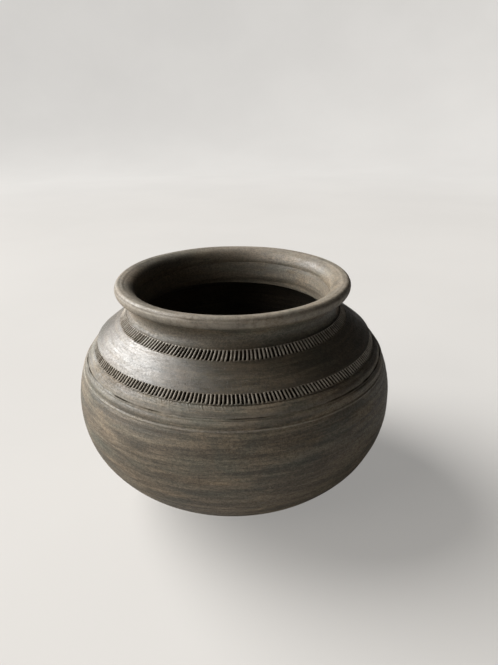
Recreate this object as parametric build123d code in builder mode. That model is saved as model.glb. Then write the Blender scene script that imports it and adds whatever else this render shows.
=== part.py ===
"""Black clay jar: a thrown bowl, wall, shoulder, neck and lip luted together, with a laid bead
and two notched strips. Millimetres, +Z up, origin at the middle of the flat base."""
from build123d import *
import os
from math import atan2, cos, radians, sin

# Driving dimensions of the bowl and the belly wall
belly_radius = 125.0        # widest radius of the jar
belly_height = 83.0         # height of the widest line, where bowl and wall are luted
wall = 8.0                  # wall thickness of the bowl and the belly
base_thickness = 10.0
lower_radius = 68.5         # curve of the bowl just below the widest line
lower_turn = 50.0           # how far that curve turns, in degrees
bottom_radius = 147.0       # flatter curve from there down to the base
upper_radius = 82.0         # curve of the wall above the widest line
line_round = 1.2            # round of the wall's upper edge, one side of the incised line

# Shoulder and bead; points of a section are (radius, height)
bead_height = 121.4         # lower edge of the bead, where wall and shoulder are luted
bead_inner = (110.6, bead_height)
bead_outer = (114.6, bead_height)
bead_top = (108.9, 127.7)
bead_curve = 6.0            # the bead's round face
shoulder_curve = 160.0      # the shoulder's slight outward curve
shoulder_inner = (87.5, 139.8)

# The two notched strips, each with its outer face from foot to head
lower_band_foot = (109.5, 128.0)
lower_band_head = (106.5, 134.2)
upper_band_foot = (88.5, 147.4)
upper_band_head = (83.5, 153.2)
strip_thickness = 3.0
strip_stand = 0.8           # how far the upper strip stands out of the shoulder
lower_notches = 258
upper_notches = 203
notch_depth = 1.3
notch_share = 0.55          # width of a notch as a share of the pitch
notch_clear = 0.3           # how far a notch's wedge stands out of the strip

# Neck
neck_foot = (82.8, 152.6)
neck_waist = (79.6, 160.2)
throat_foot = (74.2, 146.8)
throat = (72.8, 158.0)
throat_top = (74.4, 165.6)

# Lip
lip_joint = (82.2, 165.6)
lip_edge = (88.6, 169.2)
lip_line = (89.8, 176.0)
lip_groove = (89.0, 176.4)  # bottom of the fine line below the crest
lip_crest = (89.2, 177.0)
crest_inner = (81.4, 176.4)
lip_flare = 12.0            # hollow curve under the lip, and the flare inside it
lip_swell = 9.0             # the lip's round outer face
crest_curve = 14.0          # the lip's nearly flat top


def inset(foot, head, depth):
    """The line from foot to head, moved towards the axis by depth, square to itself."""
    lean = atan2(head[1] - foot[1], head[0] - foot[0])
    shift = (-sin(lean) * depth, cos(lean) * depth)
    return [(point[0] + shift[0], point[1] + shift[1]) for point in (foot, head)]


lower_seat_foot, lower_seat_head = inset(lower_band_foot, lower_band_head, strip_thickness)
upper_seat_foot, upper_seat_head = inset(upper_band_foot, upper_band_head, strip_thickness)
shoulder_top = inset(upper_band_foot, upper_band_head, strip_stand)[0]

# The points where the two curves of the bowl meet, and where the lower one reaches the base
turn = radians(lower_turn)
bowl_middle = belly_radius - lower_radius
bend_outer = (bowl_middle + lower_radius * cos(turn), belly_height - lower_radius * sin(turn))
bottom_middle = (
    bend_outer[0] - bottom_radius * cos(turn),
    bend_outer[1] + bottom_radius * sin(turn),
)


def on_bottom(radius, height):
    """The point at this height on a bottom curve of this radius."""
    drop = bottom_middle[1] - height
    return (bottom_middle[0] + (radius**2 - drop**2) ** 0.5, height)


def on_bottom_at(radius, angle):
    """The point on a bottom curve of this radius, at this angle below the horizontal."""
    return (bottom_middle[0] + radius * cos(angle), bottom_middle[1] - radius * sin(angle))


def on_upper(radius, height):
    """The point at this height on a belly wall curve of this radius."""
    rise = height - belly_height
    return (belly_radius - upper_radius + (radius**2 - rise**2) ** 0.5, height)


def halfway(radius, middle, start, end):
    """The point halfway along the curve between two of its points."""
    angle = sum(atan2(p[1] - middle[1], p[0] - middle[0]) for p in (start, end)) / 2
    return (middle[0] + radius * cos(angle), middle[1] + radius * sin(angle))


foot_edge = on_bottom(bottom_radius, 0)
foot_inner = on_bottom(bottom_radius - wall, base_thickness)
belly_outer = (belly_radius, belly_height)
belly_inner = (belly_radius - wall, belly_height)
bend_inner = on_bottom_at(bottom_radius - wall, turn)
bowl_centre = (bowl_middle, belly_height)
upper_centre = (belly_radius - upper_radius, belly_height)
rim_outer = on_upper(upper_radius, bead_height)
rim_inner = on_upper(upper_radius - wall, bead_height)

with BuildPart() as lower_bowl:
    with BuildSketch(Plane.XZ):
        with BuildLine():
            Line((0, 0), foot_edge)
            ThreePointArc(
                foot_edge, halfway(bottom_radius, bottom_middle, foot_edge, bend_outer), bend_outer
            )
            ThreePointArc(
                bend_outer, halfway(lower_radius, bowl_centre, bend_outer, belly_outer), belly_outer
            )
            Line(belly_outer, belly_inner)
            ThreePointArc(
                belly_inner,
                halfway(lower_radius - wall, bowl_centre, belly_inner, bend_inner),
                bend_inner,
            )
            ThreePointArc(
                bend_inner,
                halfway(bottom_radius - wall, bottom_middle, bend_inner, foot_inner),
                foot_inner,
            )
            Line(foot_inner, (0, base_thickness))
            Line((0, base_thickness), (0, 0))
        make_face()
    revolve(axis=Axis.Z)
lower_bowl.part.label = "lower_bowl"

with BuildPart() as upper_wall:
    with BuildSketch(Plane.XZ):
        with BuildLine():
            Line(belly_inner, belly_outer)
            ThreePointArc(
                belly_outer, halfway(upper_radius, upper_centre, belly_outer, rim_outer), rim_outer
            )
            Line(rim_outer, rim_inner)
            ThreePointArc(
                rim_inner,
                halfway(upper_radius - wall, upper_centre, rim_inner, belly_inner),
                belly_inner,
            )
        make_face()
    revolve(axis=Axis.Z)
    fillet(upper_wall.edges().group_by(Axis.Z)[-1].sort_by(SortBy.RADIUS)[-1], radius=line_round)
upper_wall.part.label = "upper_wall"

with BuildPart() as shoulder_wall:
    with BuildSketch(Plane.XZ):
        with BuildLine():
            Polyline(rim_inner, bead_inner, lower_seat_foot, lower_seat_head, lower_band_head)
            RadiusArc(lower_band_head, shoulder_top, -shoulder_curve)
            Polyline(shoulder_top, upper_seat_foot, upper_seat_head, throat_foot)
            ThreePointArc(throat_foot, shoulder_inner, rim_inner)
        make_face()
    revolve(axis=Axis.Z)
shoulder_wall.part.label = "shoulder_wall"

with BuildPart() as neck_collar:
    with BuildSketch(Plane.XZ):
        with BuildLine():
            Polyline(throat_foot, upper_seat_head, neck_foot)
            ThreePointArc(neck_foot, neck_waist, lip_joint)
            Line(lip_joint, throat_top)
            ThreePointArc(throat_top, throat, throat_foot)
        make_face()
    revolve(axis=Axis.Z)
neck_collar.part.label = "neck_collar"

with BuildPart() as lip_ring:
    with BuildSketch(Plane.XZ):
        with BuildLine():
            Line(throat_top, lip_joint)
            RadiusArc(lip_joint, lip_edge, lip_flare)
            RadiusArc(lip_edge, lip_line, -lip_swell)
            Polyline(lip_line, lip_groove, lip_crest)
            RadiusArc(lip_crest, crest_inner, -crest_curve)
            RadiusArc(crest_inner, throat_top, -lip_flare)
        make_face()
    revolve(axis=Axis.Z)
lip_ring.part.label = "lip_ring"

with BuildPart() as shoulder_bead:
    with BuildSketch(Plane.XZ):
        with BuildLine():
            Polyline(bead_top, lower_seat_foot, bead_inner, bead_outer)
            RadiusArc(bead_outer, bead_top, -bead_curve)
        make_face()
    revolve(axis=Axis.Z)
shoulder_bead.part.label = "shoulder_bead"



def notch_wedge(foot, head, count):
    """The wedge that cuts one notch across a strip's outer face, from its foot to its head."""
    length = ((foot[0] - head[0]) ** 2 + (head[1] - foot[1]) ** 2) ** 0.5
    half_width = foot[0] * sin(radians(180 / count)) * notch_share
    across = Plane(
        origin=((foot[0] + head[0]) / 2, 0, (foot[1] + head[1]) / 2),
        x_dir=(0, 1, 0),
        z_dir=(head[0] - foot[0], 0, head[1] - foot[1]),
    )
    with BuildPart() as wedge:
        with BuildSketch(across):
            with BuildLine():
                Polyline(
                    (-half_width, -notch_clear),
                    (half_width, -notch_clear),
                    (0, notch_depth),
                    close=True,
                )
            make_face()
        extrude(amount=length, both=True)
    return wedge.part


lower_wedge = notch_wedge(lower_band_foot, lower_band_head, lower_notches)
upper_wedge = notch_wedge(upper_band_foot, upper_band_head, upper_notches)

with BuildPart() as lower_notched_band:
    with BuildSketch(Plane.XZ):
        with BuildLine():
            Polyline(
                lower_band_foot, lower_band_head, lower_seat_head, lower_seat_foot, close=True
            )
        make_face()
    revolve(axis=Axis.Z)
    with PolarLocations(0, lower_notches):
        add(lower_wedge, mode=Mode.SUBTRACT)
lower_notched_band.part.label = "lower_notched_band"

with BuildPart() as upper_notched_band:
    with BuildSketch(Plane.XZ):
        with BuildLine():
            Polyline(
                upper_band_foot, upper_band_head, upper_seat_head, upper_seat_foot, close=True
            )
        make_face()
    revolve(axis=Axis.Z)
    with PolarLocations(0, upper_notches):
        add(upper_wedge, mode=Mode.SUBTRACT)
upper_notched_band.part.label = "upper_notched_band"

os.makedirs("parts", exist_ok=True)
members = [
    lower_bowl,
    upper_wall,
    shoulder_wall,
    neck_collar,
    lip_ring,
    shoulder_bead,
    lower_notched_band,
    upper_notched_band,
]
for member in members:
    export_step(member.part, f"parts/{member.part.label}.step")
    print(f"{member.part.label}: {member.part.volume / 1000:.1f} cm3")
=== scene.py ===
"""Looks for a black clay jar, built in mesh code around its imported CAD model."""

from math import atan2, cos, pi, radians, sin, tau

import bmesh
import bpy
import numpy as np
from bpy.props import FloatProperty, FloatVectorProperty, IntProperty, PointerProperty
from mathutils import Matrix, Vector


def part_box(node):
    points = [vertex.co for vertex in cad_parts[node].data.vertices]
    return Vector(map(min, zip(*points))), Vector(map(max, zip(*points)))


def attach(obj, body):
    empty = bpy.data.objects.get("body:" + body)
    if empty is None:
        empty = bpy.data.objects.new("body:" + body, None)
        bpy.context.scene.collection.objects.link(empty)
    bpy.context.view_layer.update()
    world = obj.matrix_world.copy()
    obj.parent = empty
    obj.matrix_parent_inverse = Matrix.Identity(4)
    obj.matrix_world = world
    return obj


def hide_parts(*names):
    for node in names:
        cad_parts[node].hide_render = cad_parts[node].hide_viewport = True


bl_info = {
    "name": "Black Clay Jar",
    "version": (1, 0, 0),
    "blender": (4, 5, 0),
    "location": "3D View > Sidebar > Clay Jar",
    "description": "Builds the members of a black clay jar, its finishes and its stage",
    "category": "Add Mesh",
}

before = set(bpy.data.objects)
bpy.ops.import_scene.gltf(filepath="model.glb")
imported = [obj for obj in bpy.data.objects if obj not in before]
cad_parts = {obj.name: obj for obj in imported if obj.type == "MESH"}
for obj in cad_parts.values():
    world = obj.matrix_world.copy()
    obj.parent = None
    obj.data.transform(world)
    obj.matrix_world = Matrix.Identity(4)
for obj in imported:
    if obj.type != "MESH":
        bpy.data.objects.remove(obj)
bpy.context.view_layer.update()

MM = 0.001
COLUMNS = 480               # steps round a plain member
SKIN_STEP = 1.1 * MM        # spacing of rows on the outer skin
INSIDE_STEP = 2.6 * MM      # spacing of rows on the inner face
AXIS_FADE = 12 * MM         # nearer the axis than this, the hand's marks fade out
SAME_POINT = 2e-6           # vertices closer than this become one
SOFT_CREASE = radians(38)   # edges sharper than this stay sharp on a turned member
CUT_CREASE = radians(62)    # and on a notched strip


def reach(node):
    """Widest radius, lowest and highest point of a CAD member."""
    low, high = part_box(node)
    return high.x, low.z, high.z


BELLY, FLOOR, BELLY_TOP = reach("lower_bowl")
_, _, LINE_TOP = reach("upper_wall")
BEAD, _, BEAD_HEAD = reach("shoulder_bead")
LOWER_BAND, _, LOWER_HEAD = reach("lower_notched_band")
UPPER_BAND, _, UPPER_HEAD = reach("upper_notched_band")
NECK, NECK_FOOT, NECK_TOP = reach("neck_collar")
LIP, _, LIP_TOP = reach("lip_ring")

# Section points as (radius, height), set off from the members' CAD boxes
WALL = 8.0 * MM
LOWER_CURVE = 68.5 * MM
LOWER_TURN = radians(50)
BOTTOM_CURVE = 147.0 * MM
UPPER_CURVE = 82.0 * MM
FLOOR_THICKNESS = 10.0 * MM
LINE_IN = (BEAD - 4.0 * MM, LINE_TOP)
BEAD_TIP = (LOWER_BAND - 0.6 * MM, BEAD_HEAD)
LOWER_FOOT = (LOWER_BAND, BEAD_HEAD + 0.3 * MM)
LOWER_EDGE = (LOWER_BAND - 3.0 * MM, LOWER_HEAD)
UPPER_FOOT = (UPPER_BAND, UPPER_HEAD - 5.8 * MM)
UPPER_EDGE = (UPPER_BAND - 5.0 * MM, UPPER_HEAD)
STRIP = 3.0 * MM
NECK_START = (NECK + 0.5 * MM, UPPER_HEAD - 0.17 * MM)
NECK_WAIST = (NECK - 3.2 * MM, NECK_TOP - 5.4 * MM)
NECK_END = (NECK - 0.6 * MM, NECK_TOP)
THROAT_FOOT = (NECK - 8.6 * MM, NECK_FOOT)
THROAT = (NECK - 10.0 * MM, NECK_TOP - 7.6 * MM)
THROAT_TOP = (NECK - 8.4 * MM, NECK_TOP)
SHOULDER_INSIDE = (87.5 * MM, NECK_FOOT - 7.0 * MM)
LIP_EDGE = (LIP - 1.4 * MM, NECK_TOP + 3.6 * MM)
LIP_LINE = (LIP - 0.5 * MM, LIP_TOP - 1.8 * MM)
LIP_CREST = (LIP - 4.2 * MM, LIP_TOP)
CREST_INSIDE = (LIP - 9.2 * MM, LIP_TOP - 1.3 * MM)

# How far each kind of skin was burnished: left wiped, smoothed, or stone-burnished
WIPED = 0.55
SMOOTHED_LIP = 0.56
SMOOTHED_NECK = 0.66
SMOOTHED_STRIP = 0.75
STONE_BURNISHED = 1.0
THROAT_BURNISH = 0.3

# Rings under the incised line: (how far below it, width, height), in millimetres
SOFT_RINGS = ((3.0, 1.7, 0.42), (9.6, 1.6, 0.16))
RAISED_LINES = ((7.1, 0.40, 0.34), (14.0, 0.45, 0.14))
CUT_LINES = ((1.3, 0.30, 0.20), (5.9, 0.50, 0.28))

# Over the columns of one notch, from the middle of the ridge before it: its depth, and its wear with
# painted highlight on the ridge
NOTCH_DIP = np.array([-0.12, 0.04, 0.32, 0.74, 0.98, 1.06, 0.98, 0.74, 0.32, 0.04])
RIDGE_WEAR_AND_HIGHLIGHT = np.array([1.0, 0.9, 0.5, 0, 0, 0, 0, 0, 0.5, 0.9])


def line(start, end, step):
    """Evenly spaced points from start to end."""
    start, end = np.array(start), np.array(end)
    steps = max(2, int(np.hypot(*(end - start)) / step) + 2)
    return start + np.linspace(0, 1, steps)[:, None] * (end - start)


def bend(start, middle, end, step):
    """Evenly spaced points on the circle's arc from start through middle to end."""
    (ax, ay), (bx, by), (cx, cy) = start, middle, end
    double = 2 * (ax * (by - cy) + bx * (cy - ay) + cx * (ay - by))
    a2, b2, c2 = ax * ax + ay * ay, bx * bx + by * by, cx * cx + cy * cy
    centre = (
        (a2 * (by - cy) + b2 * (cy - ay) + c2 * (ay - by)) / double,
        (a2 * (cx - bx) + b2 * (ax - cx) + c2 * (bx - ax)) / double,
    )
    angles = np.unwrap([atan2(y - centre[1], x - centre[0]) for x, y in (start, middle, end)])
    radius = np.hypot(ax - centre[0], ay - centre[1])
    return around(centre, radius, angles[0], angles[2], step)


def swell(start, end, bulge, step):
    """A bend that stands bulge to the right of the line from start to end."""
    (ax, ay), (cx, cy) = start, end
    length = np.hypot(cx - ax, cy - ay)
    middle = (
        (ax + cx) / 2 + (cy - ay) / length * bulge,
        (ay + cy) / 2 - (cx - ax) / length * bulge,
    )
    return bend(start, middle, end, step)


def around(centre, radius, start, end, step):
    """Points on a circle's arc from one angle to another, in radians above the horizontal."""
    steps = max(4, int(abs(end - start) * radius / step) + 1)
    turn = np.linspace(start, end, steps)
    return np.stack([centre[0] + radius * np.cos(turn), centre[1] + radius * np.sin(turn)], 1)


def inset(foot, head, depth):
    """The line from foot to head, moved square to itself towards the axis."""
    lean = atan2(head[1] - foot[1], head[0] - foot[0])
    shift = (-sin(lean) * depth, cos(lean) * depth)
    return [(point[0] + shift[0], point[1] + shift[1]) for point in (foot, head)]


LOWER_SEAT = inset(LOWER_FOOT, LOWER_EDGE, STRIP)
UPPER_SEAT = inset(UPPER_FOOT, UPPER_EDGE, STRIP)
SHOULDER_TOP = inset(UPPER_FOOT, UPPER_EDGE, 0.15 * MM)[0]
LOWER_CENTRE = (BELLY - LOWER_CURVE, BELLY_TOP)
UPPER_CENTRE = (BELLY - UPPER_CURVE, BELLY_TOP)
BOTTOM_CENTRE = (
    LOWER_CENTRE[0] + (LOWER_CURVE - BOTTOM_CURVE) * cos(LOWER_TURN),
    LOWER_CENTRE[1] - (LOWER_CURVE - BOTTOM_CURVE) * sin(LOWER_TURN),
)


def bottom_turn(radius, height):
    """The angle at which a bottom curve of this radius reaches this height."""
    return -np.arcsin((BOTTOM_CENTRE[1] - height) / radius)


def upper_turn(radius, height):
    """The angle at which a belly wall curve of this radius reaches this height."""
    return np.arcsin((height - BELLY_TOP) / radius)


def wander(theta, along, seed, waves, turns, lengths):
    """A smooth wander from about -1 to 1 that closes on itself round the jar."""
    draw = np.random.default_rng(seed)
    total = np.zeros(np.broadcast(theta, along).shape)
    for _ in range(waves):
        length = draw.uniform(*lengths)
        phase = draw.uniform(0, tau)
        total += np.sin(draw.integers(turns[0], turns[1] + 1) * theta + tau * along / length + phase)
    return total / waves**0.5


def bump_at(distance, width):
    """1 at distance 0, falling smoothly to 0."""
    return np.exp(-((distance / width) ** 2))


def path_of(radius, height):
    """How far along the wall a point is, from the middle of the floor to the lip."""
    return height + np.where(height < BELLY_TOP, radius, 2 * BELLY - radius)


def hand_skin(theta, radius, height):
    """How far the potter's hand leaves the outer skin off its true section."""
    shape = bpy.context.scene.jar_shape
    path = path_of(radius, height)
    body = wander(theta, path, 11, 6, (1, 3), (0.16, 0.4)) * shape.out_of_round
    dents = wander(theta, path, 23, 14, (3, 11), (0.02, 0.07)) * shape.dents
    strength = 0.55 + 0.45 * wander(theta, path, 31, 6, (0, 3), (0.03, 0.09))
    near_foot = 1 + 1.3 * smooth_step((FLOOR + 45 * MM - height) / (30 * MM))
    burnished = 1 - 0.65 * smooth_step((height - BEAD_HEAD) / (4 * MM))
    rings = wander(theta, path, 47, 26, (0, 1), (1.7 * MM, 6.5 * MM)) * strength * shape.rings
    rings *= near_foot * burnished
    return (body + dents + rings) * np.clip((height - FLOOR) / (5 * MM), 0, 1)


def hand_inside(theta, radius, height):
    """How far finger ridges, climbing in a spiral, stand in from the inner face."""
    shape = bpy.context.scene.jar_shape
    path = path_of(radius, height)
    body = wander(theta, path, 11, 6, (1, 3), (0.16, 0.4)) * shape.out_of_round
    spiral = np.sin(tau * path / shape.finger_pitch + theta + 0.5 * np.sin(2 * theta))
    soft = wander(theta, path, 59, 12, (2, 9), (0.015, 0.06)) * shape.dents
    ridges = shape.finger_ridges * (1 - 0.75 * smooth_step((height - NECK_FOOT) / (8 * MM)))
    return spiral * ridges + soft - body


def ring_level(theta, height):
    """Height over the incised line, as the hand held the tool: not quite level."""
    return height - LINE_TOP - 0.35 * MM * np.sin(theta + 1.0) - 0.2 * MM * np.sin(3 * theta)


def rings_at(level, rings):
    """The height in millimetres of some rings, at a level over the incised line."""
    return sum(high * bump_at(level + below * MM, width * MM) for below, width, high in rings)


def belly_rings(theta, radius, height):
    """The two soft rings under the incised line, with fine lines cut and raised between them."""
    level = ring_level(theta, height)
    broken = np.clip(0.7 + 0.45 * wander(theta, height, 67, 12, (1, 9), (0.01, 0.04)), 0.1, 1.3)
    uneven = (rings_at(level, RAISED_LINES) - rings_at(level, CUT_LINES)) * broken
    return (rings_at(level, SOFT_RINGS) + uneven) * MM


def wear_and_highlight_on_ring(theta, radius, height):
    """Wear and painted highlight on the raised line."""
    level = ring_level(theta, height)
    return 0.45 * bump_at(level + 7.1 * MM, 0.45 * MM) + 0.2 * bump_at(level + 3.0 * MM, 0.9 * MM)


class Run:
    """A stretch of a section. Its kind is skin, inside, rest (what the jar stands on) or joint.
    shape, painted shade and wear with painted highlight are functions of the angle, radius and height
    over the stretch."""

    def __init__(self, points, kind="joint", burnish=0.0, shape=None, painted_shade=None, wear_and_highlight=None):
        self.points = np.array(points, float)
        self.kind = kind
        self.burnish = burnish
        self.shape = shape
        self.painted_shade = painted_shade
        self.wear_and_highlight = wear_and_highlight


def run_normals(points):
    """Unit normals of a stretch that runs with the clay on its left."""
    step = np.gradient(points, axis=0)
    step /= np.linalg.norm(step, axis=1)[:, None]
    return np.stack([step[:, 1], -step[:, 0]], 1)


def grid_of(run, theta):
    """Radius, height, angle, painted shade, wear with painted highlight, burnish and path of every
    vertex of a stretch.
    """
    radius = np.repeat(run.points[:, :1], len(theta), 1)
    height = np.repeat(run.points[:, 1:], len(theta), 1)
    turn = np.repeat(theta[None, :], len(run.points), 0)
    normal = run_normals(run.points)
    painted_shade = np.zeros_like(radius)
    wear_and_highlight = np.zeros_like(radius)
    if run.kind == "skin":
        offset = hand_skin(turn, radius, height)
    elif run.kind == "inside":
        offset = hand_inside(turn, radius, height)
    else:
        offset = np.zeros_like(radius)
    if run.shape:
        offset = offset + run.shape(turn, radius, height)
    if run.painted_shade:
        painted_shade = run.painted_shade(turn, radius, height)
    if run.wear_and_highlight:
        wear_and_highlight = run.wear_and_highlight(turn, radius, height)
    offset = offset * np.clip(radius / AXIS_FADE, 0, 1)
    burnish = np.full_like(radius, run.burnish)
    path = path_of(radius, height)
    radius = radius + offset * normal[:, :1]
    height = height + offset * normal[:, 1:]
    return radius, height, turn, painted_shade, wear_and_highlight, burnish, path


def turned_mesh(name, runs, theta):
    """A closed mesh turned from the stretches of a closed section."""
    parts = [grid_of(run, theta) for run in runs]
    kept = []
    for index, part in enumerate(parts):
        follows = runs[index].points[-1]
        starts = runs[(index + 1) % len(runs)].points[0]
        joined = np.allclose(follows, starts, atol=1e-9)
        is_joint = runs[index].kind == "joint"
        first = 1 if is_joint else 0
        last = -1 if is_joint and joined else None
        kept.append([field[first:last] for field in part])
    radius, height, turn, painted_shade, wear_and_highlight, burnish, path = (
        np.concatenate([part[field] for part in kept]) for field in range(7)
    )
    masks = {"painted_shade": painted_shade, "wear_and_highlight": wear_and_highlight, "burnish": burnish, "path": path}
    return mesh_from_grid(name, radius, height, turn, masks, SOFT_CREASE)


def mesh_from_grid(name, radius, height, turn, masks, crease):
    """A mesh whose rows close on each other and round the axis, with masks as attributes.
    Rows on the axis become one point each, and edges over the crease angle stay sharp."""
    rows, columns = radius.shape
    where = np.stack([radius * np.sin(turn), -radius * np.cos(turn), height], -1)
    mesh = bpy.data.meshes.new(name)
    row = np.arange(rows)[:, None]
    column = np.arange(columns)[None, :]
    after_row = (row + 1) % rows
    after = (column + 1) % columns
    corners = np.stack(
        np.broadcast_arrays(
            row * columns + column,
            row * columns + after,
            after_row * columns + after,
            after_row * columns + column,
        ),
        -1,
    ).reshape(-1, 4)
    on_axis = np.abs(radius).max(1) < SAME_POINT
    both = on_axis & np.roll(on_axis, -1)
    keep = ~np.repeat(both, columns)
    mesh.from_pydata(where.reshape(-1, 3), [], corners[keep])
    for mask, values in masks.items():
        attribute = mesh.attributes.new(mask, "FLOAT", "POINT")
        attribute.data.foreach_set("value", values.reshape(-1).astype(np.float32))
    tidy = bmesh.new()
    tidy.from_mesh(mesh)
    bmesh.ops.remove_doubles(tidy, verts=tidy.verts, dist=SAME_POINT)
    bmesh.ops.recalc_face_normals(tidy, faces=tidy.faces)
    tidy.to_mesh(mesh)
    tidy.free()
    mesh.shade_smooth()
    mesh.set_sharp_from_angle(angle=crease)
    return mesh


def painted_shade_in_line(theta, radius, height):
    """Painted shade in the incised line, darker in some places than in others."""
    level = height - LINE_TOP - 0.08 * MM * np.sin(2 * theta + 0.7)
    broken = np.clip(0.45 + 0.45 * wander(theta, height, 71, 18, (2, 44), (0.02, 0.08)), 0.1, 1)
    return bump_at(level, 0.36 * MM) * broken


def painted_shade_under_bead(theta, radius, height):
    """The painted shade of the incised line, and less of it in the finer line below."""
    broken = np.clip(0.1 + 0.6 * wander(theta, height, 73, 14, (2, 30), (0.02, 0.08)), 0, 1)
    below = bump_at(height - LINE_TOP + 1.3 * MM, 0.28 * MM) * broken * 0.55
    return np.maximum(painted_shade_in_line(theta, radius, height), below)


def painted_shade_under_neck(theta, radius, height):
    """Painted shade in the angle where the neck leaves the upper strip."""
    return bump_at(height - UPPER_HEAD, 0.8 * MM) * 0.30


def painted_shade_in_lip_line(theta, radius, height):
    """Painted shade in the fine line below the lip's crest."""
    broken = np.clip(0.5 + 0.4 * wander(theta, height, 83, 14, (2, 30), (0.01, 0.05)), 0, 1)
    outside = radius > LIP - 3 * MM
    return bump_at(height - LIP_LINE[1], 0.5 * MM) * 0.4 * broken * outside


def wear_and_highlight_on_lip(theta, radius, height):
    """Handling wear and painted highlight on the lip's crest and its widest line."""
    crest = bump_at(height - LIP_TOP, 1.6 * MM)
    edge = bump_at(radius - LIP, 0.8 * MM)
    return np.clip(0.45 * crest + 0.5 * edge, 0, 1)


def bowl_runs():
    """The lower bowl, from the middle of its underside round to the middle of its floor."""
    foot = bottom_turn(BOTTOM_CURVE, FLOOR)
    foot_radius = BOTTOM_CENTRE[0] + BOTTOM_CURVE * cos(foot)
    outside = np.concatenate([
        around(BOTTOM_CENTRE, BOTTOM_CURVE, foot, -LOWER_TURN, SKIN_STEP)[:-1],
        around(LOWER_CENTRE, LOWER_CURVE, -LOWER_TURN, 0, SKIN_STEP),
    ])
    dish = bottom_turn(BOTTOM_CURVE - WALL, FLOOR + 15 * MM)
    inside = np.concatenate([
        around(LOWER_CENTRE, LOWER_CURVE - WALL, 0, -LOWER_TURN, INSIDE_STEP)[:-1],
        around(BOTTOM_CENTRE, BOTTOM_CURVE - WALL, -LOWER_TURN, dish, INSIDE_STEP),
    ])
    floor = swell(tuple(inside[-1]), (0.0, FLOOR + FLOOR_THICKNESS), -2.5 * MM, INSIDE_STEP)
    return [
        Run(line((0.0, FLOOR), (foot_radius, FLOOR), 4 * MM), "rest"),
        Run(outside, "skin", WIPED),
        Run([outside[-1], inside[0]]),
        Run(np.concatenate([inside[:-1], floor]), "inside"),
    ]


def belly_wall_runs():
    """The belly wall, up to its rounded edge in the incised line."""
    shoulder = upper_turn(UPPER_CURVE, LINE_TOP - 0.7 * MM)
    face = around(UPPER_CENTRE, UPPER_CURVE, 0, shoulder, 0.36 * MM)
    roll = swell(tuple(face[-1]), (BEAD + 0.2 * MM, LINE_TOP), 0.15 * MM, 0.2 * MM)
    top = upper_turn(UPPER_CURVE - WALL, LINE_TOP)
    inside = around(UPPER_CENTRE, UPPER_CURVE - WALL, top, 0, INSIDE_STEP)
    outside = np.concatenate([face[:-1], roll])
    return [
        Run(outside, "skin", WIPED, belly_rings, painted_shade_under_bead, wear_and_highlight_on_ring),
        Run([outside[-1], inside[0]]),
        Run(inside, "inside"),
        Run([inside[-1], outside[0]]),
    ]


def bead_runs():
    """The bead, laid in the angle between the belly wall's edge and the lower strip."""
    face = swell((BEAD + 0.2 * MM, LINE_TOP + 0.08 * MM), BEAD_TIP, 0.9 * MM, 0.3 * MM)
    return [
        Run(face, "skin", WIPED, bead_crumbs, painted_shade_in_line, wear_and_highlight_on_bead),
        Run([face[-1], LOWER_SEAT[0], LINE_IN, face[0]]),
    ]


def bead_crumbs(theta, radius, height):
    """Crumbs that the notching tool pushed down on the bead, and rough spots on its face."""
    coarse = wander(theta, height, 91, 30, (60, 420), (0.9 * MM, 4 * MM))
    under_strip = bump_at(height - BEAD_HEAD, 1.7 * MM)
    fold = bump_at(height - BEAD_HEAD + 2.1 * MM, 0.45 * MM)
    return (coarse * (0.030 + 0.045 * under_strip) - 0.12 * fold) * MM


def wear_and_highlight_on_bead(theta, radius, height):
    """Wear and painted highlight on the bead's widest line."""
    return 0.30 * bump_at(radius - BEAD, 0.9 * MM)


def shoulder_runs():
    """The shoulder wall between the two strips, with both strips' seats."""
    face = swell(LOWER_EDGE, SHOULDER_TOP, 0.4 * MM, 0.6 * MM)
    top = upper_turn(UPPER_CURVE - WALL, LINE_TOP)
    foot = tuple(around(UPPER_CENTRE, UPPER_CURVE - WALL, top, 0, INSIDE_STEP)[0])
    return [
        Run(face, "skin", STONE_BURNISHED, shoulder_rings),
        Run([face[-1], UPPER_SEAT[0], UPPER_SEAT[1], THROAT_FOOT]),
        Run(bend(THROAT_FOOT, SHOULDER_INSIDE, foot, INSIDE_STEP), "inside"),
        Run([foot, LINE_IN, LOWER_SEAT[0], LOWER_SEAT[1], face[0]]),
    ]


def shoulder_rings(theta, radius, height):
    """The faint turning ridge just below the upper strip."""
    level = height - UPPER_FOOT[1] + 2.4 * MM + 0.25 * MM * np.sin(theta + 2)
    return bump_at(level, 0.5 * MM) * 0.05 * MM - bump_at(level + 1.0 * MM, 0.6 * MM) * 0.05 * MM


def neck_runs():
    """The neck collar, hollow outside and round inside."""
    face = bend(NECK_START, NECK_WAIST, NECK_END, 0.5 * MM)
    return [
        Run(face, "skin", SMOOTHED_NECK, None, painted_shade_under_neck),
        Run([face[-1], THROAT_TOP]),
        Run(bend(THROAT_TOP, THROAT, THROAT_FOOT, 1.2 * MM), "inside", THROAT_BURNISH),
        Run([THROAT_FOOT, UPPER_SEAT[1], face[0]]),
    ]


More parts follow.
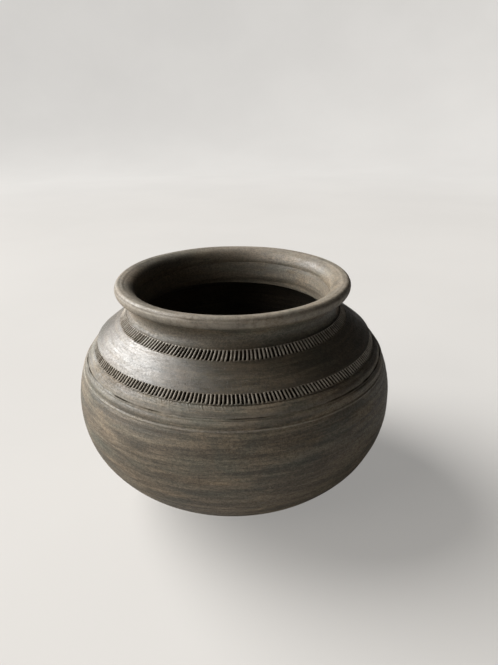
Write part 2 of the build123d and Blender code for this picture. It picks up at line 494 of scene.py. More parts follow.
def lip_runs():
    """The lip: hollow under its edge, a round roll, a fine soft line and a crest that flares in."""
    under = swell(NECK_END, LIP_EDGE, -1.1 * MM, 0.4 * MM)
    nose = swell(LIP_EDGE, LIP_LINE, 0.95 * MM, 0.4 * MM)
    crest = swell(LIP_LINE, LIP_CREST, 0.75 * MM, 0.35 * MM)
    top = swell(LIP_CREST, CREST_INSIDE, 0.35 * MM, 0.5 * MM)
    flare = swell(CREST_INSIDE, THROAT_TOP, 2.1 * MM, 0.8 * MM)
    face = np.concatenate([under[:-1], nose[:-1], crest[:-1], top[:-1], flare])
    return [
        Run(face, "skin", SMOOTHED_LIP, lip_rings, painted_shade_in_lip_line, wear_and_highlight_on_lip),
        Run([face[-1], face[0]]),
    ]


def lip_rings(theta, radius, height):
    """The fine line below the lip's crest and a second, softer one on top of it."""
    outside = bump_at(height - LIP_LINE[1], 0.55 * MM) * (radius > LIP - 3 * MM)
    inside = bump_at(radius - (CREST_INSIDE[0] + 1.5 * MM), 0.8 * MM) * (height > LIP_TOP - 4 * MM)
    return -(outside * 0.16 + inside * 0.14) * MM


def shared_at_edges(values, across):
    """One value per column from one per notch. A notch's first column, in the middle of the ridge
    beside it, lies halfway between the values of the two notches."""
    spread = np.repeat(values, across)
    spread[::across] = (values + np.roll(values, 1)) / 2
    return spread[None, :]


def notch_stations(cuts, draw):
    """Where the columns of each notch stand, in pitches from where its middle should be."""
    half = cuts.share / 2 * draw.uniform(0.84, 1.16, cuts.count)[:, None]
    centre = draw.uniform(-0.04, 0.04, cuts.count)[:, None]
    left, right = centre - half, centre + half
    ridge = np.full((cuts.count, 1), -0.5)
    return np.concatenate([
        ridge, left - 0.08, left, left + 0.05, left + 0.13,
        centre, right - 0.13, right - 0.05, right, right + 0.08,
    ], 1)


def notch_depths(cuts, draw):
    """How deep each notch was pressed. A few are faint."""
    depth = cuts.depth * draw.uniform(0.82, 1.15, cuts.count)
    faint = draw.uniform(0, 1, cuts.count) < cuts.faint
    depth[faint] *= 0.5
    return depth


def strip_mesh(name, foot, edge, seat, cuts, slant, foot_gap):
    """A notched strip. Each notch has its own width, depth, place, slant and bow, and its columns
    follow its sides. foot_gap is the range of how far above the strip's foot the notches end."""
    draw = np.random.default_rng(cuts.seed)
    count = cuts.count
    pitch = tau / count
    stations = notch_stations(cuts, draw)
    across = stations.shape[1]
    depth = notch_depths(cuts, draw)
    place = (np.arange(count) + 0.5) * pitch
    theta = (place[:, None] + stations * pitch).reshape(-1)
    lean = shared_at_edges(slant(place) + draw.uniform(-0.05, 0.05, count), across)
    bow = shared_at_edges(draw.uniform(0.01, 0.08, count), across)
    rise = np.linspace(0, 1, cuts.rows)[:, None]
    turn = theta + (lean * (rise - 0.5) + bow * np.sin(pi * rise)) * pitch
    foot, edge = np.array(foot), np.array(edge)
    level = np.broadcast_to(rise, turn.shape)
    radius = foot[0] + (edge[0] - foot[0]) * level
    height = foot[1] + (edge[1] - foot[1]) * level
    top = np.repeat(draw.uniform(0.0, 0.05, count), across)[None, :]
    base = np.repeat(draw.uniform(*foot_gap, count), across)[None, :]
    ends = smooth_step((1 - rise - top) / 0.09) * smooth_step((rise - base) / 0.12)
    rough = 1 + 0.14 * wander(turn, height, cuts.seed + 1, 16, (20, 160), (1.5 * MM, 6 * MM))
    cut = np.tile(NOTCH_DIP, count)[None, :] * np.repeat(depth, across)[None, :] * ends * rough
    ragged = wander(turn, height, cuts.seed + 2, 24, (90, 520), (0.7 * MM, 3 * MM)) * MM
    crumbs = ragged * (0.035 + 0.10 * bump_at(rise - 0.02, 0.14))
    normal = np.array([edge[1] - foot[1], foot[0] - edge[0]]) / np.hypot(*(edge - foot))
    offset = hand_skin(turn, radius, height) - cut + crumbs
    path = path_of(radius, height)
    radius = radius + offset * normal[0]
    height = height + offset * normal[1]
    seat_radius, seat_height = (
        np.full((2, turn.shape[1]), [[seat[1][part]], [seat[0][part]]]) for part in (0, 1)
    )
    # Painted shade in the cuts: the deeper the cut, the darker.
    painted_shade = np.clip(cut / cuts.depth, 0, 1) ** 0.8
    # Ridge tops paler: wear and painted highlight.
    wear_and_highlight = np.tile(RIDGE_WEAR_AND_HIGHLIGHT, count)[None, :] * smooth_step(rise / 0.3)
    none = np.zeros((2, turn.shape[1]))
    masks = {"painted_shade": painted_shade, "wear_and_highlight": wear_and_highlight, "burnish": np.full_like(turn, SMOOTHED_STRIP), "path": path}
    return mesh_from_grid(
        name,
        np.concatenate([radius, seat_radius]),
        np.concatenate([height, seat_height]),
        np.concatenate([turn, turn[-1:], turn[:1]]),
        {mask: np.concatenate([values, none]) for mask, values in masks.items()},
        CUT_CREASE,
    )


def smooth_step(value):
    """0 below 0, 1 above 1, and smooth between."""
    value = np.clip(value, 0, 1)
    return value * value * (3 - 2 * value)


def upper_slant(theta):
    """How far an upper notch leans to the right over its height, in pitches."""
    return 0.32 - 0.25 * np.sin(theta) - 0.85 * np.sin(2 * theta)


def lower_slant(theta):
    """How far a lower notch leans to the right over its height, in pitches."""
    return -0.15 - 0.65 * np.sin(theta) - 1.05 * np.sin(2 * theta)


class Wiring:
    """Short words for laying out a node tree."""

    def __init__(self, tree):
        self.tree = tree
        self.column = 0

    def node(self, kind, **settings):
        made = self.tree.nodes.new(kind)
        self.column += 1
        made.location = (self.column % 12 * 190 - 1100, 500 - self.column // 12 * 260)
        for name, value in settings.items():
            setattr(made, name, value)
        return made

    def feed(self, socket, value):
        if isinstance(value, bpy.types.NodeSocket):
            self.tree.links.new(value, socket)
        else:
            socket.default_value = value

    def math(self, operation, first, second=0.0, clamp=False):
        made = self.node("ShaderNodeMath", operation=operation, use_clamp=clamp)
        self.feed(made.inputs[0], first)
        self.feed(made.inputs[1], second)
        return made.outputs[0]

    def stretch(self, vector, scale):
        made = self.node("ShaderNodeVectorMath", operation="MULTIPLY")
        self.feed(made.inputs[0], vector)
        self.feed(made.inputs[1], scale)
        return made.outputs[0]

    def noise(self, vector, scale, detail, roughness=0.5, distortion=0.0):
        made = self.node("ShaderNodeTexNoise")
        self.feed(made.inputs["Vector"], vector)
        made.inputs["Scale"].default_value = scale
        made.inputs["Detail"].default_value = detail
        made.inputs["Roughness"].default_value = roughness
        made.inputs["Distortion"].default_value = distortion
        return made.outputs["Fac"]

    def remap(self, value, low, high, to_low=0.0, to_high=1.0):
        made = self.node("ShaderNodeMapRange", interpolation_type="SMOOTHSTEP")
        for socket, given in zip(made.inputs[:5], (value, low, high, to_low, to_high)):
            self.feed(socket, given)
        return made.outputs[0]

    def blend(self, factor, first, second):
        made = self.node("ShaderNodeMix", data_type="RGBA")
        self.feed(made.inputs[0], factor)
        self.feed(made.inputs[6], first)
        self.feed(made.inputs[7], second)
        return made.outputs[2]


def start_group(name, labels):
    """A new shader node group that takes a vector and gives a value under each label."""
    tree = bpy.data.node_groups.new(name, "ShaderNodeTree")
    tree.interface.new_socket("Vector", in_out="INPUT", socket_type="NodeSocketVector")
    for label in labels:
        tree.interface.new_socket(label, in_out="OUTPUT", socket_type="NodeSocketFloat")
    wiring = Wiring(tree)
    given = wiring.node("NodeGroupInput").outputs["Vector"]
    return wiring, given, wiring.node("NodeGroupOutput")


def group_named(name, build):
    """The node group of this name, built the first time it is asked for."""
    return bpy.data.node_groups.get(name) or build(name)


def build_wiping(name):
    """Streaks left by wiping and burnishing on a turning jar, level all the way up the wall."""
    wiring, given, result = start_group(name, ("Broad", "Fine", "Drags", "Height"))
    apart = wiring.node("ShaderNodeSeparateXYZ")
    wiring.feed(apart.inputs[0], given)
    level = wiring.node("ShaderNodeCombineXYZ")
    wiring.feed(level.inputs[0], apart.outputs[0])
    wiring.feed(level.inputs[1], apart.outputs[1])
    path = wiring.node("ShaderNodeAttribute", attribute_name="path").outputs["Fac"]
    wiring.feed(level.inputs[2], path)
    level = level.outputs[0]
    broad = wiring.noise(wiring.stretch(level, (20.0, 20.0, 165.0)), 1.0, 6.0, 0.68, 0.35)
    fine = wiring.noise(wiring.stretch(level, (42.0, 42.0, 640.0)), 1.0, 4.0, 0.65, 0.2)
    lines = wiring.noise(wiring.stretch(level, (70.0, 70.0, 1700.0)), 1.0, 2.0, 0.5)
    drags = wiring.noise(wiring.stretch(level, (110.0, 110.0, 1300.0)), 1.0, 2.0, 0.6)
    wiring.feed(result.inputs["Broad"], wiring.remap(broad, 0.36, 0.66))
    wiring.feed(result.inputs["Fine"], wiring.remap(fine, 0.34, 0.66))
    wiring.feed(result.inputs["Drags"], wiring.remap(drags, 0.63, 0.70))
    high = wiring.math("ADD", wiring.math("MULTIPLY", fine, 0.6), wiring.math("MULTIPLY", lines, 0.4))
    deepest = wiring.math("MULTIPLY", wiring.remap(drags, 0.66, 0.74), 0.3)
    wiring.feed(result.inputs["Height"], wiring.math("SUBTRACT", high, deepest))
    return wiring.tree


def build_firing(name):
    """Clouds that the smoke of the kiln leaves: warm patches and grey ones."""
    wiring, given, result = start_group(name, ("Warm", "Grey"))
    level = wiring.stretch(given, (1.0, 1.0, 2.6))
    warm = wiring.noise(level, 16.0, 8.0, 0.66, 0.8)
    grey = wiring.noise(wiring.stretch(level, (1.3, 1.3, 1.5)), 12.0, 8.0, 0.68, 0.5)
    wiring.feed(result.inputs["Warm"], wiring.remap(warm, 0.40, 0.66))
    wiring.feed(result.inputs["Grey"], wiring.remap(grey, 0.38, 0.62))
    return wiring.tree


def build_grit(name):
    """Grains, pits and specks of the fired body."""
    wiring, place, result = start_group(name, ("Grain", "Specks", "Flecks", "Height"))
    sand = wiring.noise(place, 1300.0, 4.0, 0.7)
    body = wiring.noise(wiring.stretch(place, (1.0, 1.0, 1.5)), 480.0, 5.0, 0.7)
    grain = wiring.math("ADD", wiring.math("MULTIPLY", sand, 0.5), wiring.math("MULTIPLY", body, 0.5))
    pits = wiring.noise(wiring.stretch(place, (0.8, 0.8, 1.4)), 620.0, 3.0, 0.75, 0.4)
    pale_tone = wiring.noise(place, 900.0, 3.0, 0.7, 0.2)
    speck = wiring.remap(pits, 0.645, 0.70)
    wiring.feed(result.inputs["Grain"], wiring.remap(grain, 0.36, 0.64))
    wiring.feed(result.inputs["Specks"], speck)
    wiring.feed(result.inputs["Flecks"], wiring.remap(pale_tone, 0.66, 0.72))
    high = wiring.math("SUBTRACT", grain, wiring.math("MULTIPLY", speck, 0.6))
    wiring.feed(result.inputs["Height"], high)
    return wiring.tree


def build_masks(name):
    """Painted shade in the cuts and lines, wear and painted highlight on the edges, and the burnished
    share, broken up by the grain.
    """
    wiring, place, result = start_group(name, ("Dark and painted shade", "Wear and highlight", "Burnish"))
    patchy = wiring.noise(place, 260.0, 3.0, 0.6)
    dark_and_painted_shade = wiring.node("ShaderNodeAttribute", attribute_name="painted_shade").outputs["Fac"]
    wear_and_highlight = wiring.node("ShaderNodeAttribute", attribute_name="wear_and_highlight").outputs["Fac"]
    burnish = wiring.node("ShaderNodeAttribute", attribute_name="burnish").outputs["Fac"]
    dark_and_painted_shade = wiring.math("MULTIPLY", dark_and_painted_shade, wiring.remap(patchy, 0.2, 0.55, 0.75, 1.0), clamp=True)
    wear_and_highlight = wiring.math("MULTIPLY", wear_and_highlight, wiring.remap(patchy, 0.35, 0.6, 0.45, 1.0), clamp=True)
    wiring.feed(result.inputs["Dark and painted shade"], dark_and_painted_shade)
    wiring.feed(result.inputs["Wear and highlight"], wear_and_highlight)
    wiring.feed(result.inputs["Burnish"], burnish)
    return wiring.tree


def clay_material(name, polish, streaks, relief):
    """Black clay. polish from 0 to 1 is how far the skin was burnished, streaks how strongly the
    wiping shows in its colour, and relief the height of its grain and streaks in metres."""
    made = bpy.data.materials.get(name)
    if made:
        return made
    tones = bpy.context.scene.clay_tones
    made = bpy.data.materials.new(name)
    made.use_nodes = True
    wiring = Wiring(made.node_tree)
    shader = made.node_tree.nodes["Principled BSDF"]
    place = wiring.node("ShaderNodeTexCoord").outputs["Object"]
    effects = {}
    for label, build in (
        ("Clay Wiping", build_wiping),
        ("Clay Firing", build_firing),
        ("Clay Grit", build_grit),
        ("Clay Masks", build_masks),
    ):
        effects[label] = wiring.node("ShaderNodeGroup", node_tree=group_named(label, build))
        wiring.feed(effects[label].inputs["Vector"], place)
    wiping, firing, grit, masks = (effect.outputs for effect in effects.values())

    colour = wiring.blend(firing["Grey"], (*tones.body, 1), (*tones.grey, 1))
    colour = wiring.blend(wiring.math("MULTIPLY", firing["Warm"], 0.6), colour, (*tones.warm, 1))
    raw = wiring.remap(masks["Burnish"], 0.0, 0.5, 1.0, 0.0)
    polished = wiring.remap(masks["Burnish"], 0.5, 1.0, 0.0, polish)
    depth = wiring.remap(polished, 0.0, 1.0, 0.98, 0.60)
    light = wiring.remap(wiping["Broad"], 0.0, 1.0, 1.0 - 0.30 * streaks, 1.0 + 0.30 * streaks)
    light = wiring.math("MULTIPLY", light, depth)
    thin = wiring.remap(wiping["Fine"], 0.0, 1.0, 1.0 - 0.17 * streaks, 1.0 + 0.17 * streaks)
    coarse = 0.27 + 0.06 * polish
    grain = wiring.remap(grit["Grain"], 0.0, 1.0, 1.0 - coarse, 1.0 + coarse)
    shade = wiring.node("ShaderNodeVectorMath", operation="SCALE")
    wiring.feed(shade.inputs[0], colour)
    wiring.feed(
        shade.inputs["Scale"], wiring.math("MULTIPLY", wiring.math("MULTIPLY", light, thin), grain)
    )
    dark = wiring.math("MAXIMUM", grit["Specks"], wiring.math("MULTIPLY", wiping["Drags"], streaks))
    colour = wiring.blend(wiring.math("MULTIPLY", dark, 0.60), shade.outputs[0], (*tones.dark_and_painted_shade, 1))
    colour = wiring.blend(wiring.math("MULTIPLY", grit["Flecks"], 0.55), colour, (*tones.pale_tone, 1))
    colour = wiring.blend(wiring.math("MULTIPLY", raw, 0.55), colour, (*tones.dark_and_painted_shade, 1))
    # Wear and painted highlight: edges and ridge tops mixed toward the pale tone.
    colour = wiring.blend(wiring.math("MULTIPLY", masks["Wear and highlight"], 0.75), colour, (*tones.pale_tone, 1))
    # Painted shade: cuts, lines and the angle under the neck mixed toward the dark tone.
    colour = wiring.blend(wiring.math("MULTIPLY", masks["Dark and painted shade"], 0.92), colour, (*tones.dark_and_painted_shade, 1))
    wiring.feed(shader.inputs["Base Color"], colour)

    smooth = wiring.remap(polished, 0.0, 1.0, 0.60, 0.42)
    rough = wiring.math("ADD", smooth, wiring.remap(wiping["Fine"], 0.0, 1.0, -0.06, 0.08))
    rough = wiring.math("ADD", rough, wiring.remap(firing["Warm"], 0.0, 1.0, -0.05, 0.13))
    rough = wiring.math("ADD", rough, wiring.remap(grit["Grain"], 0.0, 1.0, 0.12, -0.10))
    rough = wiring.math("ADD", rough, wiring.math("MULTIPLY", raw, 0.22))
    rough = wiring.math("ADD", rough, wiring.math("MULTIPLY", masks["Dark and painted shade"], 0.3), clamp=True)
    wiring.feed(shader.inputs["Roughness"], rough)
    shader.inputs["IOR"].default_value = 1.56
    # The sheen is taken out where the shade is painted.
    unshaded = wiring.remap(masks["Dark and painted shade"], 0.0, 0.8, 1.0, 0.0)
    wiring.feed(shader.inputs["Specular IOR Level"], wiring.math("MULTIPLY", unshaded, 0.5))
    coat = wiring.math("MULTIPLY", wiring.math("MULTIPLY", polished, 0.20), unshaded)
    wiring.feed(shader.inputs["Coat Weight"], coat)
    shader.inputs["Coat Roughness"].default_value = 0.38
    shader.inputs["Coat IOR"].default_value = 1.6

    streak_bump = wiring.node("ShaderNodeBump")
    streak_bump.inputs["Distance"].default_value = relief
    streak_bump.inputs["Strength"].default_value = 0.9
    wiring.feed(streak_bump.inputs["Height"], wiping["Height"])
    grain_bump = wiring.node("ShaderNodeBump")
    grain_bump.inputs["Distance"].default_value = relief * 1.1
    grain_bump.inputs["Strength"].default_value = 0.8
    wiring.feed(grain_bump.inputs["Height"], grit["Height"])
    wiring.feed(grain_bump.inputs["Normal"], streak_bump.outputs["Normal"])
    wiring.feed(shader.inputs["Normal"], grain_bump.outputs["Normal"])
    return made


def smoothed_clay():
    """The wiped, half-burnished belly."""
    return clay_material("wiped_finish", 0.35, 1.0, 0.28 * MM)


def burnished_clay():
    """The stone-burnished shoulder, neck and lip."""
    return clay_material("burnished_finish", 0.80, 0.70, 0.20 * MM)


def notched_clay():
    """The tool-cut strips."""
    return clay_material("notched_finish", 0.55, 0.45, 0.20 * MM)


def place_member(name, mesh, node, material):
    """Shows a finished member in place of its CAD node."""
    member = bpy.data.objects.new(name, mesh)
    bpy.context.scene.collection.objects.link(member)
    member.data.materials.append(material)
    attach(member, "root")
    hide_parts(node)


def show_turned(name, node, runs, material, columns=COLUMNS):
    """Turns a member from its section and shows it."""
    theta = np.arange(columns) / columns * tau
    place_member(name, turned_mesh(name, runs, theta), node, material)


def tone(name, description, colour):
    """A colour setting."""
    return FloatVectorProperty(
        name=name, description=description, subtype="COLOR", default=colour, min=0, max=1
    )


def amount(name, description, default):
    """A setting that is never below zero."""
    return FloatProperty(name=name, description=description, default=default, min=0)


class JarShape(bpy.types.PropertyGroup):
    out_of_round: FloatProperty(
        name="Out of round", description="How far the body strays from a true circle",
        default=0.35 * MM, min=0, unit="LENGTH",
    )
    dents: FloatProperty(
        name="Dents", description="Depth of the soft flats that smoothing leaves",
        default=0.10 * MM, min=0, unit="LENGTH",
    )
    rings: FloatProperty(
        name="Wiping rings", description="Height of the fine rings round the outside",
        default=0.06 * MM, min=0, unit="LENGTH",
    )
    finger_ridges: FloatProperty(
        name="Finger ridges", description="Height of the climbing ridges on the inside",
        default=0.45 * MM, min=0, unit="LENGTH",
    )
    finger_pitch: FloatProperty(
        name="Finger pitch", description="Distance between two finger ridges",
        default=9.5 * MM, min=1 * MM, unit="LENGTH",
    )


class NotchShape(bpy.types.PropertyGroup):
    count: IntProperty(
        name="Notches", description="How many notches go round the strip", default=203, min=3
    )
    depth: FloatProperty(
        name="Depth", description="How deep the tool goes in", default=1.3 * MM, min=0, unit="LENGTH"
    )
    share: FloatProperty(
        name="Share", description="Width of a notch as a share of the pitch",
        default=0.52, min=0.1, max=0.8, subtype="FACTOR",
    )
    faint: FloatProperty(
        name="Faint", description="Share of the notches that were pressed too lightly",
        default=0.04, min=0, max=1, subtype="FACTOR",
    )
    rows: IntProperty(name="Rows", description="Mesh rows over the strip's face", default=20, min=4)
    seed: IntProperty(name="Seed", description="Start of the draw of small irregularities", default=5)


class ClayTones(bpy.types.PropertyGroup):
    body: tone("Body", "The fired body", (0.098, 0.078, 0.053))
    warm: tone("Warm", "Brown firing clouds", (0.130, 0.097, 0.061))
    grey: tone("Grey", "Grey-green firing clouds", (0.070, 0.065, 0.047))
    # Dark tone: painted shade in cuts and lines, and the colour of pits and drag marks.
    dark_and_painted_shade: tone("Dark and painted shade", "Soot in cuts and pits", (0.010, 0.008, 0.006))
    # Pale tone: pale flecks, and wear with painted highlight on edges and ridges.
    pale_tone: tone("Dust and highlight", "Worn edges and pale flecks", (0.31, 0.28, 0.235))


class StageSettings(bpy.types.PropertyGroup):
    lens: FloatProperty(name="Lens", description="Focal length in millimetres", default=27.07, min=1)
    distance: FloatProperty(
        name="Distance", description="From the camera to the jar's axis at the lower strip",
        default=0.4070, min=0.1, unit="LENGTH",
    )
    elevation: FloatProperty(
        name="Elevation", description="How far above the strip the camera stands",
        default=radians(24.07), subtype="ANGLE", unit="ROTATION",
    )
    look_down: FloatProperty(
        name="Look down", description="Tilt of the camera below level",
        default=radians(24.09), subtype="ANGLE", unit="ROTATION",
    )
    look_right: FloatProperty(
        name="Look right", description="Turn of the camera away from the axis",
        default=radians(1.83), subtype="ANGLE", unit="ROTATION",
    )
    roll: FloatProperty(
        name="Roll", description="Turn of the camera about its own view",
        default=radians(0.63), subtype="ANGLE", unit="ROTATION",
    )
    window: amount("Window", "Strength of the window's light", 8.0)
    window_spread: FloatProperty(
        name="Window spread", description="How wide the window looks from the jar",
        default=radians(50), subtype="ANGLE", unit="ROTATION",
    )
    bounce: amount("White wall", "Power of the light from the white wall in watts", 40.0)
    fill: amount("Fill", "Strength of the room's light", 0.03)
    room_seen: amount("Room seen", "Strength of the room where the camera sees it", 0.72)
    floor: tone("Floor", "Floor and backdrop", (0.86, 0.84, 0.81))
    floor_lit: amount("Floor lit", "Share of the floor's colour that the camera sees lit", 0.35)
    floor_glow: amount("Floor glow", "Even light that the camera sees on the floor", 0.34)
    far_glow: amount("Far glow", "The same far from the jar, and on the backdrop", 0.74)
    floor_bounced: amount("Floor bounced", "Share of the floor's colour that lights the jar", 0.65)
    floor_mirrored: amount("Floor mirrored", "Share of that light which the jar mirrors", 0.46)


class JAR_OT_add_bowl(bpy.types.Operator):
    """Turns the lower bowl with its flat base and its finger-ridged floor"""

    bl_idname = "jar.add_bowl"
    bl_label = "Lower bowl"

    def execute(self, context):
        show_turned("lower_bowl_clay", "lower_bowl", bowl_runs(), smoothed_clay())
        return {"FINISHED"}


class JAR_OT_add_belly_wall(bpy.types.Operator):
    """Turns the belly wall with its soft rings and fine lines"""

    bl_idname = "jar.add_belly_wall"
    bl_label = "Belly wall"

    def execute(self, context):
        show_turned(
            "upper_wall_clay", "upper_wall", belly_wall_runs(), smoothed_clay()
        )
        return {"FINISHED"}


class JAR_OT_add_shoulder(bpy.types.Operator):
    """Turns the burnished shoulder and the bead below it"""

    bl_idname = "jar.add_shoulder"
    bl_label = "Shoulder and bead"

    def execute(self, context):
        show_turned(
            "shoulder_clay", "shoulder_wall", shoulder_runs(), burnished_clay()
        )
        show_turned(
            "bead_clay", "shoulder_bead", bead_runs(), smoothed_clay(), 3 * COLUMNS
        )
        return {"FINISHED"}


class JAR_OT_add_strips(bpy.types.Operator):
    """Cuts the two notched strips, each notch with its own small irregularities"""

    bl_idname = "jar.add_strips"
    bl_label = "Notched strips"

    def execute(self, context):
        scene = context.scene
        lower = strip_mesh(
            "lower_strip_clay", LOWER_FOOT, LOWER_EDGE, LOWER_SEAT,
            scene.lower_notches, lower_slant, (0.0, 0.10),
        )
        upper = strip_mesh(
            "upper_strip_clay", UPPER_FOOT, UPPER_EDGE, UPPER_SEAT,
            scene.upper_notches, upper_slant, (0.0, 0.06),
        )
        place_member("lower_strip_clay", lower, "lower_notched_band", notched_clay())
        place_member("upper_strip_clay", upper, "upper_notched_band", notched_clay())
        return {"FINISHED"}


class JAR_OT_add_neck(bpy.types.Operator):
    """Turns the short hollow neck"""

    bl_idname = "jar.add_neck"
    bl_label = "Neck"

    def execute(self, context):
        show_turned("neck_clay", "neck_collar", neck_runs(), burnished_clay())
        return {"FINISHED"}


class JAR_OT_add_lip(bpy.types.Operator):
    """Turns the flared, rolled lip"""

    bl_idname = "jar.add_lip"
    bl_label = "Lip"

    def execute(self, context):
        show_turned("lip_clay", "lip_ring", lip_runs(), burnished_clay())
        return {"FINISHED"}


class JAR_OT_set_stage(bpy.types.Operator):
    """Sets the pale floor, the soft window light, the room's light and the camera"""

    bl_idname = "jar.set_stage"
    bl_label = "Stage"

    def execute(self, context):
        add_sweep()
        add_lights()
        add_camera()
        return {"FINISHED"}


def add_sweep():
    """A pale round floor, and a wall that it curves up into all round. Only the camera sees the
    wall: it sends no light back on the jar and lets the window's light through."""
    flat, curve, tall, steps = 2.2, 1.2, 3.4, 24
    turns = [step / steps * pi / 2 for step in range(steps + 1)]
    rise = [(flat + curve * sin(turn), curve * (1 - cos(turn))) for turn in turns]
    material = sweep_material()
    add_round("floor", [(0.0, 0.0), (0.5, 0.0), (flat, 0.0)], material)
    wall = add_round("wall", rise + [(flat + curve, tall)], material)
    wall.visible_diffuse = False
    wall.visible_glossy = False
    wall.visible_shadow = False


def add_round(name, profile, material):
    """A part of the stage, spun from a profile of (radius, height over the floor)."""
    sheet = bmesh.new()
    path = [sheet.verts.new((radius, 0.0, FLOOR + height)) for radius, height in profile]
    edges = [sheet.edges.new(pair) for pair in zip(path, path[1:])]
    bmesh.ops.spin(
        sheet, geom=path + edges, cent=(0, 0, 0), axis=(0, 0, 1), angle=tau, steps=96, use_merge=True
    )
    bmesh.ops.remove_doubles(sheet, verts=sheet.verts, dist=1e-5)
    bmesh.ops.recalc_face_normals(sheet, faces=sheet.faces)
    mesh = bpy.data.meshes.new(name)
    sheet.to_mesh(mesh)
    sheet.free()
    mesh.shade_smooth()
    mesh.materials.append(material)
    made = bpy.data.objects.new(name, mesh)
    bpy.context.scene.collection.objects.link(made)
    return made


def sweep_material():
    """Pale painted plaster, faintly uneven. The camera sees it evenly lit, most of all far from
    the jar. It lights the jar less than it looks, and shows dark in the jar's sheen, as if black
    flags stood round the jar."""
    stage = bpy.context.scene.jar_stage
    made = bpy.data.materials.new("pale_plaster")
    made.use_nodes = True
    wiring = Wiring(made.node_tree)
    shader = made.node_tree.nodes["Principled BSDF"]
    place = wiring.node("ShaderNodeTexCoord").outputs["Object"]
    across = wiring.node("ShaderNodeVectorMath", operation="LENGTH")
    wiring.feed(across.inputs[0], wiring.stretch(place, (1.0, 1.0, 0.0)))
    far = wiring.remap(across.outputs["Value"], 0.9, 2.6)
    tone = wiring.remap(wiring.noise(place, 2.2, 4.0, 0.55), 0.3, 0.7)
    pale = wiring.blend(tone, (*stage.floor, 1), (*(channel * 0.965 for channel in stage.floor), 1))
    ray = wiring.node("ShaderNodeLightPath").outputs
    lit = wiring.remap(far, 0.0, 1.0, stage.floor_lit, 0.3 * stage.floor_lit)
    seen = wiring.remap(ray["Is Camera Ray"], 0.0, 1.0, stage.floor_bounced, lit)
    mirrored = wiring.remap(ray["Is Glossy Ray"], 0.0, 1.0, 1.0, stage.floor_mirrored)
    shade = wiring.node("ShaderNodeVectorMath", operation="SCALE")
    wiring.feed(shade.inputs[0], pale)
    wiring.feed(shade.inputs["Scale"], wiring.math("MULTIPLY", seen, mirrored))
    wiring.feed(shader.inputs["Base Color"], shade.outputs[0])
    wiring.feed(shader.inputs["Emission Color"], pale)
    glow = wiring.remap(far, 0.0, 1.0, stage.floor_glow, stage.far_glow)
    glow = wiring.math("MULTIPLY", glow, ray["Is Camera Ray"])
    wiring.feed(shader.inputs["Emission Strength"], glow)
    shader.inputs["Roughness"].default_value = 0.9
    shader.inputs["Specular IOR Level"].default_value = 0.1
    return made


def aim(holder, place, target):
    """Puts a light at a place, facing a target."""
    holder.location = place
    holder.rotation_euler = (Vector(target) - Vector(place)).to_track_quat("-Z", "Y").to_euler()
    bpy.context.scene.collection.objects.link(holder)


def add_area(name, place, target, size, power, colour):
    """A soft square light."""
    light = bpy.data.lights.new(name, "AREA")
    light.shape = "SQUARE"
    light.size = size
    light.energy = power
    light.color = colour
    aim(bpy.data.objects.new(name, light), place, target)


def add_lights():
    """A tall window to the left, a white wall beside the camera and a dim room, which looks pale
    where the camera sees past the floor."""
    stage = bpy.context.scene.jar_stage
    middle = (0, 0, BELLY_TOP)
    window = bpy.data.lights.new("window", "SUN")
    window.energy = stage.window
    window.angle = stage.window_spread
    window.color = (1.0, 0.985, 0.965)
    aim(bpy.data.objects.new("window", window), (-1.9, 0.85, 1.5), middle)
    add_area("white_wall", (-2.1, -1.0, 1.0), middle, 1.6, stage.bounce, (1.0, 0.96, 0.91))
    world = bpy.data.worlds.new("room")
    world.use_nodes = True
    wiring = Wiring(world.node_tree)
    back = world.node_tree.nodes["Background"]
    back.inputs["Color"].default_value = (1.0, 0.965, 0.92, 1)
    seen = wiring.node("ShaderNodeLightPath").outputs["Is Camera Ray"]
    wiring.feed(back.inputs["Strength"], wiring.remap(seen, 0.0, 1.0, stage.fill, stage.room_seen))
    bpy.context.scene.world = world
    bpy.context.scene.view_settings.view_transform = "Standard"


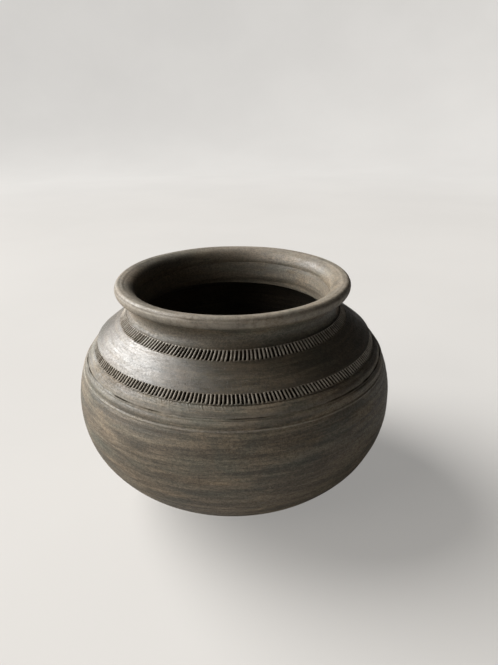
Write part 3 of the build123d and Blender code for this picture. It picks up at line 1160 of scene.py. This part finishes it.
def add_camera():
    """The camera, to the front of the jar and above its shoulder."""
    stage = bpy.context.scene.jar_stage
    lens = bpy.data.cameras.new("camera")
    lens.lens = stage.lens
    lens.clip_start = 0.02
    camera = bpy.data.objects.new("camera", lens)
    camera.matrix_world = (
        Matrix.Translation((
            0, -stage.distance * cos(stage.elevation),
            LOWER_FOOT[1] + stage.distance * sin(stage.elevation),
        ))
        @ Matrix.Rotation(-stage.look_right, 4, "Z")
        @ Matrix.Rotation(pi / 2 - stage.look_down, 4, "X")
        @ Matrix.Rotation(-stage.roll, 4, "Z")
    )
    bpy.context.scene.collection.objects.link(camera)
    bpy.context.scene.camera = camera


class JAR_PT_panel(bpy.types.Panel):
    """Lists the jar's members and its stage"""

    bl_label = "Clay Jar"
    bl_idname = "JAR_PT_panel"
    bl_space_type = "VIEW_3D"
    bl_region_type = "UI"
    bl_category = "Clay Jar"

    def draw(self, context):
        for settings in ("jar_shape", "lower_notches", "upper_notches", "clay_tones", "jar_stage"):
            box = self.layout.box()
            group = getattr(context.scene, settings)
            box.label(text=settings.replace("_", " ").capitalize())
            for name in group.__annotations__:
                box.prop(group, name)
        for operator in OPERATORS:
            self.layout.operator(operator.bl_idname)


OPERATORS = (
    JAR_OT_add_bowl,
    JAR_OT_add_belly_wall,
    JAR_OT_add_shoulder,
    JAR_OT_add_strips,
    JAR_OT_add_neck,
    JAR_OT_add_lip,
    JAR_OT_set_stage,
)
GROUPS = {
    "jar_shape": JarShape,
    "lower_notches": NotchShape,
    "upper_notches": NotchShape,
    "clay_tones": ClayTones,
    "jar_stage": StageSettings,
}
CLASSES = (JarShape, NotchShape, ClayTones, StageSettings, *OPERATORS, JAR_PT_panel)


def register():
    for made in CLASSES:
        bpy.utils.register_class(made)
    for name, group in GROUPS.items():
        setattr(bpy.types.Scene, name, PointerProperty(type=group))


def unregister():
    for name in GROUPS:
        delattr(bpy.types.Scene, name)
    for made in reversed(CLASSES):
        bpy.utils.unregister_class(made)


def main():
    register()
    scene = bpy.context.scene
    scene.lower_notches.count = 258
    scene.lower_notches.depth = 1.25 * MM
    scene.lower_notches.seed = 17
    bpy.ops.jar.add_bowl()
    bpy.ops.jar.add_belly_wall()
    bpy.ops.jar.add_shoulder()
    bpy.ops.jar.add_strips()
    bpy.ops.jar.add_neck()
    bpy.ops.jar.add_lip()
    bpy.ops.jar.set_stage()


if __name__ == "__main__":
    main()
